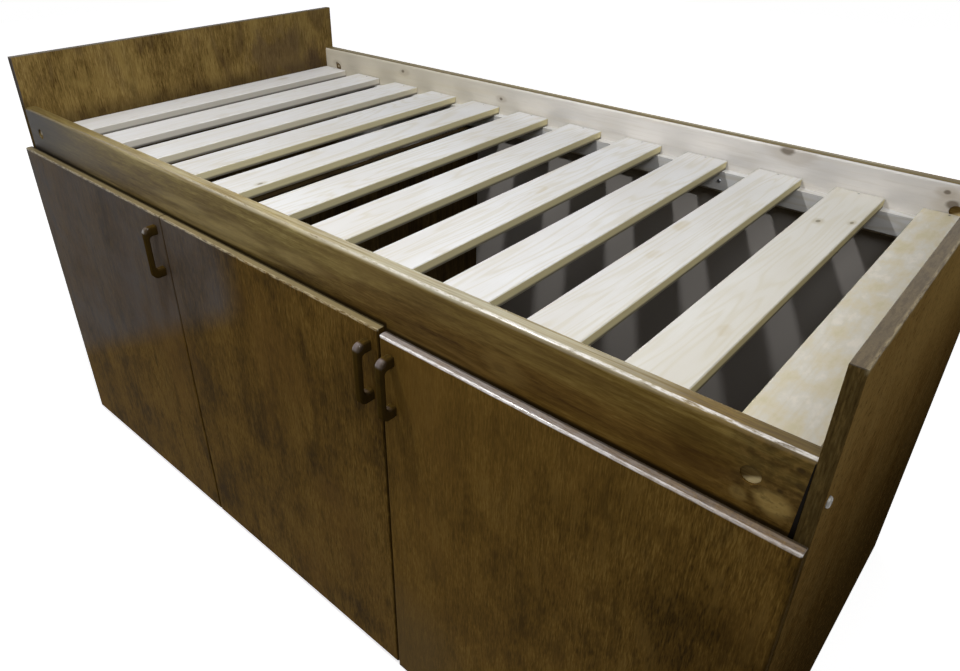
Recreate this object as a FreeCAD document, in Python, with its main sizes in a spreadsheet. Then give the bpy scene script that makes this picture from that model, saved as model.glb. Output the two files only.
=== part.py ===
# Cabinet bed: a single bed with a slatted deck over a cupboard with three doors.
# Lengths are in millimetres. X runs from the head end to the foot end, Y from the doors to
# the back and Z upwards. The origin is on the floor, under the middle of the carcass.

import FreeCAD, Part
import Sketcher
import math
import os
import re

os.makedirs("parts", exist_ok=True)
doc = FreeCAD.newDocument("cabinet_bed")

# Driving sizes
SIZES = (
    # carcass
    ("inner_length", 1900), ("carcass_depth", 980), ("panel_thickness", 18),
    ("panel_rise", 120), ("panel_ease", 1.5), ("floor_thickness", 18),
    ("back_thickness", 6), ("divider_thickness", 18),
    # rails, battens and slats
    ("rail_thickness", 30), ("rail_height", 135), ("rail_show", 100), ("rail_round", 7),
    ("batten_thickness", 22), ("batten_height", 44), ("batten_ease", 1),
    ("deck_sink", 59), ("slat_width", 95), ("slat_thickness", 20), ("slat_end_gap", 3),
    ("slat_ease", 1.5),
    # bolts that hold the rails to the end panels
    ("recess_from_end", 58), ("recess_from_top", 54), ("recess_radius", 12),
    ("recess_depth", 24), ("plug_thickness", 4), ("plug_sink", 2.5), ("plug_fit", 0.2),
    ("bolt_radius", 4), ("bolt_clearance", 0.3), ("bolt_head_radius", 7),
    ("bolt_head_height", 3.5), ("nut_half_flat", 6.5), ("nut_thickness", 6.5),
    ("nut_fit", 0.05), ("bolt_end", 3), ("washer_flat", 4), ("washer_half_height", 8),
    ("washer_half_width", 6.5), ("washer_fit", 0.05),
    # wood screws and nails
    ("wood_screw_radius", 2.25), ("wood_screw_head_radius", 4.2),
    ("wood_screw_head_height", 2.4), ("wood_screw_bite", 16),
    ("nail_radius", 1.2), ("nail_head_radius", 2.6), ("nail_head_height", 0.6),
    ("nail_length", 38),
    # doors
    ("door_thickness", 16), ("door_height", 813), ("door_bottom", 12), ("door_gap", 3),
    ("door_inset", 1), ("seam_gap", 3), ("door_round", 4), ("third_door_drop", 8),
    # handles
    ("handle_centres", 96), ("handle_projection", 28), ("handle_width", 14),
    ("handle_foot", 20), ("handle_grip", 9), ("handle_corner", 12),
    ("handle_hollow_corner", 6), ("handle_ease", 2.5), ("handle_from_edge", 24),
    ("handle_from_top", 36),
    ("handle_screw_radius", 2), ("handle_screw_fit", 0.2), ("handle_screw_bite", 8),
    ("handle_screw_head_radius", 4), ("handle_screw_head_height", 2.2),
    # cup hinges, measured from the door's hinge edge and its back face
    ("hinge_from_end", 100), ("cup_centre", 22.5), ("cup_radius", 17.5),
    ("cup_depth", 12), ("cup_wall", 1), ("cup_fit", 0.1), ("flange_rim", 2),
    ("flange_thickness", 1.2), ("wing_start", 26), ("wing_width", 12),
    ("wing_reach", 28), ("cup_screw_spread", 22.5), ("cup_screw_radius", 1.8),
    ("cup_screw_head_radius", 3.4), ("cup_screw_head_height", 1.6),
    ("cup_screw_length", 12), ("screw_hole_fit", 0.2),
    ("pivot_across", 41.4), ("pivot_in", 7.1), ("pin_radius", 1.5), ("pin_fit", 0.05),
    ("arm_width", 16), ("arm_wall", 1.4), ("arm_depth", 9.5), ("arm_top", 46.5),
    ("arm_nose", 3), ("arm_length", 59), ("arm_chamfer", 2.6),
    ("link_leg", 28.3), ("link_leg_angle", 35.5), ("link_tip", 7.6),
    ("link_tip_angle", 35.4), ("link_half_thickness", 1.2), ("link_width", 12),
    ("link_eye_radius", 2.8),
    ("plate_front", 28), ("plate_length", 34), ("plate_width", 13),
    ("plate_wing_reach", 24), ("plate_wing_length", 12), ("plate_wing_thickness", 2.5),
    ("plate_screw_spread", 16), ("plate_screw_back", 37),
    ("plate_screw_length", 13),
)

slat_count = 12
# Sides of the small shanks and holes that repeat, of the links' eyes and of nuts and nails
small_sides = 8
eye_sides = 12
nut_sides = 6
# Free lengths between the slats, from the head end to the foot end, as shares of their sum
slat_gap_shares = (6.3, 6.9, 6.0, 6.5, 6.9, 6.8, 7.2, 6.8, 7.15, 6.9, 6.85, 1.7)
# Places of the screws along a batten, as shares of its length
batten_screw_shares = (0.035, 0.27, 0.5, 0.73, 0.965)

sheet = doc.addObject("Spreadsheet::Sheet", "sizes")
sheet.Label = "sizes"
for row, (name, value) in enumerate(SIZES, 1):
    sheet.set("A%d" % row, name)
    sheet.set("B%d" % row, str(value))
    sheet.setAlias("B%d" % row, name)
doc.recompute()

nodes = []


def sized(text):
    """Turns the names in a formula into cells of the sheet."""
    words = {name for name, _ in SIZES}
    return re.sub("[a-z_]+", lambda found: "sizes." * (found[0] in words) + found[0], text)


def value(text):
    """Works out a formula of named sizes as a plain number."""
    return float(sheet.evalExpression(sized(text)))


# Formulas that several pieces share
left = "( 0 - inner_length / 2 - panel_thickness )"
front = "( 0 - carcass_depth / 2 )"
inside = "( 0 - inner_length / 2 )"
rail_top = "( door_bottom + door_height + rail_show )"
rail_bottom = "( %s - rail_height )" % rail_top
panel_height = "( %s + panel_rise )" % rail_top
deck_top = "( %s - deck_sink )" % rail_top
slat_bottom = "( %s - slat_thickness )" % deck_top
bolt_line = "( %s - recess_from_top )" % rail_top
rear_rail_face = "( carcass_depth / 2 - rail_thickness )"
door_back = "( 0 - carcass_depth / 2 - door_gap )"
door_width = "( ( inner_length + 2 * panel_thickness - 2 * door_inset - 2 * seam_gap ) / 3 )"
hinge_spacing = "( door_height - 2 * hinge_from_end )"


def new_body(label, x="0", y="0", z="0", mirrored=False):
    """Starts a body at a place given by formulas; a mirrored one is turned half round about Y."""
    body = doc.addObject("PartDesign::Body", label)
    body.Label = label
    if mirrored:
        body.Placement.Rotation = FreeCAD.Rotation(FreeCAD.Vector(0, 1, 0), 180)
    body.setExpression(".Placement.Base.x", sized(x))
    body.setExpression(".Placement.Base.y", sized(y))
    body.setExpression(".Placement.Base.z", sized(z))
    nodes.append(body)
    return body


def origin_part(body, role):
    """Finds an origin plane or axis of a body by its role."""
    return next(item for item in body.Origin.OriginFeatures if item.Role == role)


def new_sketch(body, plane, shift="0", along="0", turn="0"):
    """Puts an empty sketch on an origin plane, moved along its normal and its own x."""
    sketch = body.newObject("Sketcher::SketchObject", "outline")
    sketch.AttachmentSupport = (origin_part(body, plane), [""])
    sketch.MapMode = "FlatFace"
    sketch.setExpression("AttachmentOffset.Base.z", sized(shift))
    sketch.setExpression("AttachmentOffset.Base.x", sized(along))
    if turn != "0":
        sketch.setExpression("AttachmentOffset.Rotation.Angle", sized(turn))
    return sketch


def bind(sketch, kind, geometry, text):
    """Adds one constraint and ties its value to a formula."""
    index = sketch.addConstraint(Sketcher.Constraint(kind, *geometry, value(text)))
    sketch.setExpression("Constraints[%d]" % index, sized(text))


def fix_point(sketch, geometry, end, across, up):
    """Holds one point of a sketch at two formulas, counted from the sketch's origin."""
    bind(sketch, "DistanceX", (-1, 1, geometry, end), across)
    bind(sketch, "DistanceY", (-1, 1, geometry, end), up)


def add_polygon(sketch, points):
    """Draws a closed outline through points that are pairs of formulas."""
    places = [FreeCAD.Vector(value(across), value(up), 0) for across, up in points]
    first = sketch.GeometryCount
    count = len(points)
    for index in range(count):
        sketch.addGeometry(Part.LineSegment(places[index], places[(index + 1) % count]), False)
    for index in range(count):
        following = first + (index + 1) % count
        sketch.addConstraint(Sketcher.Constraint("Coincident", first + index, 2, following, 1))
        fix_point(sketch, first + index, 1, *points[index])


def add_rectangle(sketch, across, up, width, height):
    """Draws a rectangle from its lower left corner."""
    far = "%s + %s" % (across, width)
    top = "%s + %s" % (up, height)
    add_polygon(sketch, ((across, up), (far, up), (far, top), (across, top)))


def add_circle(sketch, across, up, radius):
    """Draws a circle about a point given by formulas."""
    centre = FreeCAD.Vector(value(across), value(up), 0)
    circle = Part.Circle(centre, FreeCAD.Vector(0, 0, 1), value(radius))
    index = sketch.addGeometry(circle, False)
    fix_point(sketch, index, 3, across, up)
    bind(sketch, "Radius", (index,), radius)


def add_facets(sketch, across, up, radius, sides=small_sides):
    """Draws a regular polygon about a point, with its corners at a radius."""
    angles = [360 / sides * step for step in range(sides)]
    add_polygon(sketch, [("%s + ( %s ) * cos( %r )" % (across, radius, angle),
                          "%s + ( %s ) * sin( %r )" % (up, radius, angle)) for angle in angles])


def add_feature(body, kind, sketch, length=None, reverse=False):
    """Adds a pad, pocket or revolution of a sketch."""
    feature = body.newObject("PartDesign::" + kind, kind.lower())
    feature.Profile = sketch
    if kind == "Revolution":
        feature.ReferenceAxis = (sketch, ["V_Axis"])
        feature.Angle = 360
    else:
        feature.setExpression("Length", sized(length))
    feature.Reversed = reverse
    sketch.Visibility = False
    doc.recompute()
    return feature


def repeat_upwards(body, features, spacing, count=2):
    """Repeats features along the body's own Z."""
    pattern = body.newObject("PartDesign::LinearPattern", "pattern")
    pattern.Originals = features
    pattern.Direction = (origin_part(body, "Z_Axis"), [""])
    pattern.setExpression("Length", sized(spacing))
    pattern.Occurrences = count
    body.Tip = pattern
    doc.recompute()
    return pattern


def round_edges(body, feature, size, wanted, flat=False):
    """Rounds the edges of a feature that a test picks, or planes them flat."""
    names = ["Edge%d" % number for number, edge in enumerate(feature.Shape.Edges, 1)
             if wanted(edge.BoundBox)]
    kind, measure = ("Chamfer", "Size") if flat else ("Fillet", "Radius")
    dressing = body.newObject("PartDesign::" + kind, "rounding")
    dressing.Base = (feature, names)
    dressing.setExpression(measure, sized(size))
    doc.recompute()
    return dressing


def same(first, second):
    """Tells whether two lengths agree."""
    return abs(first - second) < value("panel_ease") / 100


def board(label, size, place):
    """Makes a squared board from its size and the place of its lower, front, head corner."""
    body = new_body(label, *place)
    sketch = new_sketch(body, "YZ_Plane")
    add_rectangle(sketch, "0", "0", size[1], size[2])
    pad = add_feature(body, "Pad", sketch, size[0])
    return body, pad


# End panels: upright plywood, front and top edges eased
def end_panel(label, x):
    body, pad = board(label, ("panel_thickness", "carcass_depth", panel_height), (x, front, "0"))
    top = value(panel_height)

    def eased(box):
        on_top = same(box.ZMin, top) and same(box.ZMax, top) and box.YLength > box.XLength
        on_front = same(box.YMax, 0) and box.ZLength > box.XLength
        return on_top or on_front

    rounding = round_edges(body, pad, "panel_ease", eased)
    holes = new_sketch(body, "YZ_Plane")
    for across in ("rail_thickness / 2", "carcass_depth - rail_thickness / 2"):
        add_facets(holes, across, bolt_line, "bolt_radius + bolt_clearance")
    add_feature(body, "Pocket", holes, "panel_thickness", reverse=True)
    return rounding


end_panel("head_panel", left)
end_panel("foot_panel", "inner_length / 2")


# Rails: solid timber, bolted to the end panels through round recesses near their ends
def rail(label, y):
    body, pad = board(label, ("inner_length", "rail_thickness", "rail_height"),
                      (inside, y, rail_bottom))
    top = value("rail_height")
    round_edges(body, pad, "rail_round",
                lambda box: same(box.ZMin, top) and same(box.ZMax, top) and box.XLength > box.YLength)
    height = "rail_height - recess_from_top"
    bores = new_sketch(body, "YZ_Plane")
    add_facets(bores, "rail_thickness / 2", height, "bolt_radius + bolt_clearance")
    add_feature(body, "Pocket", bores, "recess_from_end", reverse=True)
    far_bores = new_sketch(body, "YZ_Plane", shift="inner_length - recess_from_end")
    add_facets(far_bores, "rail_thickness / 2", height, "bolt_radius + bolt_clearance")
    add_feature(body, "Pocket", far_bores, "recess_from_end", reverse=True)
    recesses = new_sketch(body, "XZ_Plane")
    add_circle(recesses, "recess_from_end", height, "recess_radius")
    add_circle(recesses, "inner_length - recess_from_end", height, "recess_radius")
    add_feature(body, "Pocket", recesses, "recess_depth")


rail("front_rail", front)
rail("back_rail", rear_rail_face)


# Cupboard boards
board("cabinet_floor", ("inner_length", "carcass_depth - back_thickness", "floor_thickness"),
      (inside, front, "0"))
board("back_panel", ("inner_length", "back_thickness", rail_bottom),
      (inside, "carcass_depth / 2 - back_thickness", "0"))
divider_left = left + " + door_inset + %s + seam_gap / 2 - divider_thickness / 2" % door_width
board("divider", ("divider_thickness", "carcass_depth - back_thickness",
                  rail_bottom + " - floor_thickness"),
      (divider_left, front, "floor_thickness"))


# Battens that carry the slats, with their lower inner edge eased
def batten(label, y, inner_face):
    body, pad = board(label, ("inner_length", "batten_thickness", "batten_height"),
                      (inside, y, slat_bottom + " - batten_height"))
    face = value(inner_face)
    round_edges(body, pad, "batten_ease",
                lambda box: same(box.ZMax, 0) and same(box.YMin, face) and same(box.YMax, face),
                flat=True)


front_batten_y = front + " + rail_thickness"
back_batten_y = rear_rail_face + " - batten_thickness"
batten("front_batten", front_batten_y, "batten_thickness")
batten("back_batten", back_batten_y, "0")


# Slats, spaced by hand
slat_length = "( carcass_depth - 2 * rail_thickness - 2 * slat_end_gap )"
free_length = "( inner_length - %d * slat_width )" % slat_count
slat_places = []
for index in range(slat_count):
    share = sum(slat_gap_shares[:index]) / sum(slat_gap_shares)
    slat_places.append("%s + %d * slat_width + %r * %s" % (inside, index, share, free_length))


def slat(label, x):
    body, pad = board(label, ("slat_width", slat_length, "slat_thickness"),
                      (x, front + " + rail_thickness + slat_end_gap", slat_bottom))
    top = value("slat_thickness")
    round_edges(body, pad, "slat_ease",
                lambda box: same(box.ZMin, top) and box.YLength > box.XLength, flat=True)


for index, place in enumerate(slat_places, 1):
    slat("slat_%d" % index, place)


# Doors: full overlay, with a bore for each hinge cup and holes for the handle's screws
class Door:
    """Places of one door; the third hangs on its right edge, the others on their left."""

    def __init__(self, number):
        self.number = number
        self.mirrored = number == 3
        drop = "third_door_drop" if self.mirrored else "0"
        self.x = left + " + door_inset + %d * ( %s + seam_gap )" % (number - 1, door_width)
        self.z = "door_bottom - " + drop
        edge = self.x + " + " + door_width if self.mirrored else self.x
        lowest = self.z + " + hinge_from_end"
        highest = self.z + " + door_height - hinge_from_end"
        self.hinge_place = (edge, door_back, highest if self.mirrored else lowest)
        self.hinge_across = door_width + " - cup_centre" if self.mirrored else "cup_centre"
        self.handle_across = ("handle_from_edge" if self.mirrored
                              else door_width + " - handle_from_edge")
        self.handle_x = self.x + " + " + self.handle_across
        self.handle_z = self.z + " + door_height - handle_from_top - handle_centres"
        # from the door's hinge edge to the inner face of the board that carries it
        self.cover = ("( divider_thickness / 2 - seam_gap / 2 )" if number == 2
                      else "( panel_thickness - door_inset )")

    def hinge_body(self, label):
        return new_body("%s_%d" % (label, self.number), *self.hinge_place, mirrored=self.mirrored)


doors = [Door(number) for number in (1, 2, 3)]


def door(place):
    body, pad = board("door_%d" % place.number, (door_width, "door_thickness", "door_height"),
                      (place.x, door_back + " - door_thickness", place.z))
    round_edges(body, pad, "door_round",
                lambda box: same(box.YMin, 0) and same(box.YMax, 0))
    cups = new_sketch(body, "XZ_Plane", shift="0 - door_thickness")
    for height in ("hinge_from_end", "door_height - hinge_from_end"):
        add_circle(cups, place.hinge_across, height, "cup_radius + cup_fit")
    add_feature(body, "Pocket", cups, "cup_depth + cup_fit", reverse=True)
    holes = new_sketch(body, "XZ_Plane", shift="0 - door_thickness")
    for rise in ("0", "handle_centres"):
        add_facets(holes, place.handle_across,
                   "door_height - handle_from_top - handle_centres + " + rise,
                   "handle_screw_radius + handle_screw_fit")
    add_feature(body, "Pocket", holes, "door_thickness", reverse=True)


for place in doors:
    door(place)


# Handles: a moulded bow with two feet and a flat grip, each on two screws from inside the door
def handle(place):
    body = new_body("handle_%d" % place.number, place.handle_x,
                    door_back + " - door_thickness", place.handle_z)
    bow = new_sketch(body, "YZ_Plane", shift="0 - handle_width / 2")
    low, high = "0 - handle_foot / 2", "handle_centres + handle_foot / 2"
    under, over = "handle_foot / 2", "handle_centres - handle_foot / 2"
    outer, inner = "0 - handle_projection", "handle_grip - handle_projection"
    add_polygon(bow, (("0", low), ("0", under), (inner, under), (inner, over), ("0", over),
                      ("0", high), (outer, high), (outer, low)))
    block = add_feature(body, "Pad", bow, "handle_width")
    front_face, grip_back = value(outer), value(inner)

    def corner(y):
        return lambda box: box.XLength > box.ZLength and same(box.YMin, y) and same(box.YMax, y)

    bent = round_edges(body, block, "handle_corner", corner(front_face))
    hollowed = round_edges(body, bent, "handle_hollow_corner", corner(grip_back))
    round_edges(body, hollowed, "handle_ease",
                lambda box: same(box.XMin, box.XMax) and not (same(box.YMin, 0) and same(box.YMax, 0)),
                flat=True)


def add_screw(body, sketch_place, across, up, lengths, sunk_forward):
    """Adds a shank and a head on the two sides of a plane that is a name and a shift."""
    plane, shift = sketch_place
    length, radius, head_radius, head_height = lengths
    shank = new_sketch(body, plane, shift=shift)
    add_facets(shank, across, up, radius)
    shank_pad = add_feature(body, "Pad", shank, length, reverse=not sunk_forward)
    head = new_sketch(body, plane, shift=shift)
    add_facets(head, across, up, head_radius)
    head_pad = add_feature(body, "Pad", head, head_height, reverse=sunk_forward)
    return [shank_pad, head_pad]


def handle_screws(place):
    body = new_body("handle_screws_%d" % place.number, place.handle_x, door_back, place.handle_z)
    lengths = ("door_thickness + handle_screw_bite", "handle_screw_radius",
               "handle_screw_head_radius", "handle_screw_head_height")
    screw = add_screw(body, ("XZ_Plane", "0"), "0", "0", lengths, True)
    repeat_upwards(body, screw, "handle_centres")


for place in doors:
    handle(place)
    handle_screws(place)


# Hinge cups: a pressed bowl with a rim and two screwed wings
def hinge_cups(place):
    body = place.hinge_body("hinge_cups")
    bowl = new_sketch(body, "XY_Plane", along="cup_centre")
    inner = "cup_radius - cup_wall"
    rim = "cup_radius + flange_rim"
    add_polygon(bowl, (("0", "0 - cup_depth"), ("cup_radius", "0 - cup_depth"), ("cup_radius", "0"),
                       (rim, "0"), (rim, "flange_thickness"), (inner, "flange_thickness"),
                       (inner, "cup_wall - cup_depth"), ("0", "cup_wall - cup_depth")))
    cup = add_feature(body, "Revolution", bowl)
    wings = new_sketch(body, "XZ_Plane")
    length = "wing_reach - cup_radius"
    add_rectangle(wings, "wing_start", "cup_radius", "wing_width", length)
    add_rectangle(wings, "wing_start", "0 - wing_reach", "wing_width", length)
    wing = add_feature(body, "Pad", wings, "flange_thickness", reverse=True)
    holes = new_sketch(body, "XZ_Plane")
    middle = "wing_start + wing_width / 2"
    for sign in ("", "0 - "):
        add_facets(holes, middle, sign + "cup_screw_spread", "cup_screw_radius + screw_hole_fit")
    hole = add_feature(body, "Pocket", holes, "flange_thickness")
    repeat_upwards(body, [cup, wing, hole], hinge_spacing)


def cup_screws(place):
    edge, back, height = place.hinge_place
    body = new_body("cup_screws_%d" % place.number, edge, back + " + flange_thickness", height,
                    mirrored=place.mirrored)
    lengths = ("cup_screw_length", "cup_screw_radius", "cup_screw_head_radius",
               "cup_screw_head_height")
    screws = []
    for sign in ("", "0 - "):
        screws += add_screw(body, ("XZ_Plane", "0"), "wing_start + wing_width / 2",
                            sign + "cup_screw_spread", lengths, True)
    repeat_upwards(body, screws, hinge_spacing)


# Hinge arms: a channel with its open side to the board, holding the link's pin at its nose
def hinge_arms(place):
    body = place.hinge_body("hinge_arms")
    outline = new_sketch(body, "XY_Plane", shift="0 - arm_width / 2")
    open_side = "arm_top - arm_depth"
    tail = "arm_nose + arm_length"
    add_polygon(outline, ((open_side + " + arm_chamfer", "arm_nose"), ("arm_top", "arm_nose"),
                          ("arm_top", tail), (open_side, tail),
                          (open_side, "arm_nose + arm_chamfer")))
    arm = add_feature(body, "Pad", outline, "arm_width")
    hollow = new_sketch(body, "XZ_Plane", shift="0 - arm_nose")
    add_rectangle(hollow, open_side, "arm_wall - arm_width / 2",
                  "arm_depth - arm_wall", "arm_width - 2 * arm_wall")
    channel = add_feature(body, "Pocket", hollow, "arm_length")
    pin_hole = new_sketch(body, "XY_Plane", shift="0 - arm_width / 2")
    add_facets(pin_hole, "pivot_across", "pivot_in", "pin_radius + pin_fit")
    hole = add_feature(body, "Pocket", pin_hole, "arm_width", reverse=True)
    repeat_upwards(body, [arm, channel, hole], hinge_spacing)


def hinge_pins(place):
    body = place.hinge_body("hinge_pins")
    sketch = new_sketch(body, "XY_Plane", shift="0 - arm_width / 2")
    add_facets(sketch, "pivot_across", "pivot_in", "pin_radius")
    pin = add_feature(body, "Pad", sketch, "arm_width")
    repeat_upwards(body, [pin], hinge_spacing)


# Cranked links: each turns on the arm's pin and reaches round the door's edge into the cup
def hinge_links(place):
    body = place.hinge_body("hinge_links")
    low = "0 - link_width / 2"
    eye = new_sketch(body, "XY_Plane", shift=low)
    add_facets(eye, "pivot_across", "pivot_in", "link_eye_radius", eye_sides)
    eye_pad = add_feature(body, "Pad", eye, "link_width")
    leg = new_sketch(body, "XY_Plane", shift=low, along="pivot_across", turn="180 + link_leg_angle")
    leg.setExpression("AttachmentOffset.Base.y", sized("pivot_in"))
    add_rectangle(leg, "0", "0 - link_half_thickness", "link_leg", "2 * link_half_thickness")
    leg_pad = add_feature(body, "Pad", leg, "link_width")
    crank_x = "( pivot_across - link_leg * cos( link_leg_angle ) )"
    crank_y = "( pivot_in - link_leg * sin( link_leg_angle ) )"
    tip = new_sketch(body, "XY_Plane", shift=low, along=crank_x, turn="180 - link_tip_angle")
    tip.setExpression("AttachmentOffset.Base.y", sized(crank_y))
    add_rectangle(tip, "0", "0 - link_half_thickness", "link_tip", "2 * link_half_thickness")
    tip_pad = add_feature(body, "Pad", tip, "link_width")
    bend = new_sketch(body, "XY_Plane", shift=low)
    add_facets(bend, crank_x, crank_y, "link_half_thickness")
    bend_pad = add_feature(body, "Pad", bend, "link_width")
    pin_hole = new_sketch(body, "XY_Plane", shift=low)
    add_facets(pin_hole, "pivot_across", "pivot_in",
               "( pin_radius + pin_fit ) / cos( %r )" % (180 / small_sides))
    hole = add_feature(body, "Pocket", pin_hole, "link_width", reverse=True)
    repeat_upwards(body, [eye_pad, leg_pad, tip_pad, bend_pad, hole], hinge_spacing)


# Mounting plates: a block under the arm with two screwed wings against the board
def hinge_plates(place):
    body = place.hinge_body("hinge_plates")
    block = new_sketch(body, "XY_Plane", shift="0 - plate_width / 2")
    rise = "arm_top - arm_wall - " + place.cover
    add_rectangle(block, place.cover, "plate_front", rise, "plate_length")
    block_pad = add_feature(body, "Pad", block, "plate_width")
    wings = new_sketch(body, "YZ_Plane", shift=place.cover)
    wing_front = "plate_screw_back - plate_wing_length / 2"
    add_rectangle(wings, wing_front, "0 - plate_wing_reach", "plate_wing_length",
                  "2 * plate_wing_reach")
    wing_pad = add_feature(body, "Pad", wings, "plate_wing_thickness")
    holes = new_sketch(body, "YZ_Plane", shift=place.cover)
    for sign in ("", "0 - "):
        add_facets(holes, "plate_screw_back", sign + "plate_screw_spread",
                   "wood_screw_radius + screw_hole_fit")
    hole = add_feature(body, "Pocket", holes, "plate_wing_thickness", reverse=True)
    repeat_upwards(body, [block_pad, wing_pad, hole], hinge_spacing)


def plate_screws(place):
    body = place.hinge_body("plate_screws")
    lengths = ("plate_screw_length", "wood_screw_radius", "wood_screw_head_radius",
               "wood_screw_head_height")
    top = place.cover + " + plate_wing_thickness"
    screws = []
    for sign in ("", "0 - "):
        screws += add_screw(body, ("YZ_Plane", top), "plate_screw_back",
                            sign + "plate_screw_spread", lengths, False)
    repeat_upwards(body, screws, hinge_spacing)


for place in doors:
    hinge_cups(place)
    cup_screws(place)
    hinge_arms(place)
    hinge_pins(place)
    hinge_links(place)
    hinge_plates(place)
    plate_screws(place)

doc.recompute()


# Fasteners that repeat over the whole bed, turned once and set at each place
def placed_copies(label, solid, places):
    """Sets copies of a solid at places that are pairs of a point and a direction for its +Z."""
    copies = []
    for point, direction in places:
        copy = solid.copy()
        turn = FreeCAD.Rotation(FreeCAD.Vector(0, 0, 1), direction)
        copy.Placement = FreeCAD.Placement(point, turn)
        copies.append(copy)
    group = doc.addObject("Part::Feature", label)
    group.Label = label
    group.Shape = Part.makeCompound(copies)
    nodes.append(group)


def rod(radius, start, end):
    """Makes a round bar along Z between two heights."""
    return Part.makeCylinder(radius, end - start, FreeCAD.Vector(0, 0, start))


def facet_rod(radius, start, end, sides=small_sides):
    """Makes a bar of few sides along Z between two heights, with its corners at a radius."""
    corners = [FreeCAD.Rotation(FreeCAD.Vector(0, 0, 1), 360 / sides * step).multVec(
        FreeCAD.Vector(radius, 0, start)) for step in range(sides + 1)]
    return Part.Face(Part.makePolygon(corners)).extrude(FreeCAD.Vector(0, 0, end - start))


half_length = value("inner_length / 2")
bolt_height = value(bolt_line)
rail_lines = (value(front + " + rail_thickness / 2"), value(rear_rail_face + " + rail_thickness / 2"))

# Bed bolts: the round head is outside the end panel and the end lies in the recess
bolt_reach = value("panel_thickness + recess_from_end + nut_thickness - washer_flat + bolt_end")
bolt = facet_rod(value("bolt_radius"), 0 - bolt_reach, 0).fuse(
    rod(value("bolt_head_radius"), 0, value("bolt_head_height")))
bolt_places = []
nut_places = []
for sign in (-1, 1):
    direction = FreeCAD.Vector(sign, 0, 0)
    for line in rail_lines:
        outside = sign * (half_length + value("panel_thickness"))
        nut_x = sign * (half_length - value("recess_from_end"))
        bolt_places.append((FreeCAD.Vector(outside, line, bolt_height), direction))
        nut_places.append((FreeCAD.Vector(nut_x, line, bolt_height), direction))
placed_copies("bed_bolts", bolt.removeSplitter(), bolt_places)

# Half-moon washers: their round backs lie against the recess's wall and their flats take the nuts
washer_radius = value("recess_radius - washer_fit")
washer_flat = value("washer_flat")
half_height = value("washer_half_height")
half_width = value("washer_half_width")
washer = Part.makeCylinder(washer_radius, 2 * half_width, FreeCAD.Vector(0, 0 - half_width, 0),
                           FreeCAD.Vector(0, 1, 0))
washer = washer.common(Part.makeBox(2 * half_height, 2 * half_width, washer_radius - washer_flat,
                                    FreeCAD.Vector(0 - half_height, 0 - half_width, washer_flat)))
washer = washer.cut(facet_rod(value("bolt_radius + bolt_clearance"), washer_flat, washer_radius))
placed_copies("bed_washers", washer, nut_places)

# Nuts: hexagonal, drawn against the washers' flats
nut_corner = value("nut_half_flat") / math.cos(math.pi / nut_sides)
nut_end = washer_flat - value("nut_thickness")
nut = facet_rod(nut_corner, nut_end, washer_flat, nut_sides)
nut = nut.cut(facet_rod(value("bolt_radius + nut_fit"), nut_end, washer_flat))
placed_copies("bed_nuts", nut, nut_places)

# Plugs that close the recesses, sunk a little below the rail's face
plug = rod(value("recess_radius - plug_fit"), 0 - value("plug_sink + plug_thickness"),
           0 - value("plug_sink"))
plug_places = []
for sign in (-1, 1):
    plug_x = sign * (half_length - value("recess_from_end"))
    for face in (value(front), value(rear_rail_face)):
        plug_places.append((FreeCAD.Vector(plug_x, face, bolt_height), FreeCAD.Vector(0, -1, 0)))
placed_copies("recess_plugs", plug, plug_places)

# Screws that hold the battens to the rails
screw_reach = value("batten_thickness + wood_screw_bite")
screw = facet_rod(value("wood_screw_radius"), 0 - screw_reach, 0).fuse(
    facet_rod(value("wood_screw_head_radius"), 0, value("wood_screw_head_height")))
screw_height = value(slat_bottom + " - batten_height / 2")
screw_places = []
for share in batten_screw_shares:
    across = value(inside) + share * value("inner_length")
    for face, way in ((value(front_batten_y + " + batten_thickness"), 1),
                      (value(back_batten_y), -1)):
        screw_places.append((FreeCAD.Vector(across, face, screw_height), FreeCAD.Vector(0, way, 0)))
placed_copies("batten_screws", screw.removeSplitter(), screw_places)

# Nails that hold the slats down on the battens
nail = facet_rod(value("nail_radius"), 0 - value("nail_length"), 0, nut_sides).fuse(
    facet_rod(value("nail_head_radius"), 0 - value("nail_head_height"), 0, nut_sides))
nail_places = []
for place in slat_places:
    middle = value(place + " + slat_width / 2")
    for line in (value(front_batten_y + " + batten_thickness / 2"),
                 value(back_batten_y + " + batten_thickness / 2")):
        nail_places.append((FreeCAD.Vector(middle, line, value(deck_top)),
                            FreeCAD.Vector(0, 0, 1)))
placed_copies("slat_nails", nail.removeSplitter(), nail_places)

doc.recompute()

# Checks, then one file for each piece
for item in doc.Objects:
    if "Invalid" in item.State or "Error" in item.State:
        raise RuntimeError("%s of %s failed" % (item.Name, item.Label))
for node in nodes:
    if node.Shape.isNull() or not node.Shape.isValid() or not node.Shape.Solids:
        raise RuntimeError("the shape of %s is not sound" % node.Label)
for node in nodes:
    node.Shape.exportStep("parts/%s.step" % node.Label)
    print("%-18s %2d solids %12.1f mm3" % (node.Label, len(node.Shape.Solids), node.Shape.Volume))
print(len(nodes), "nodes")
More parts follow.
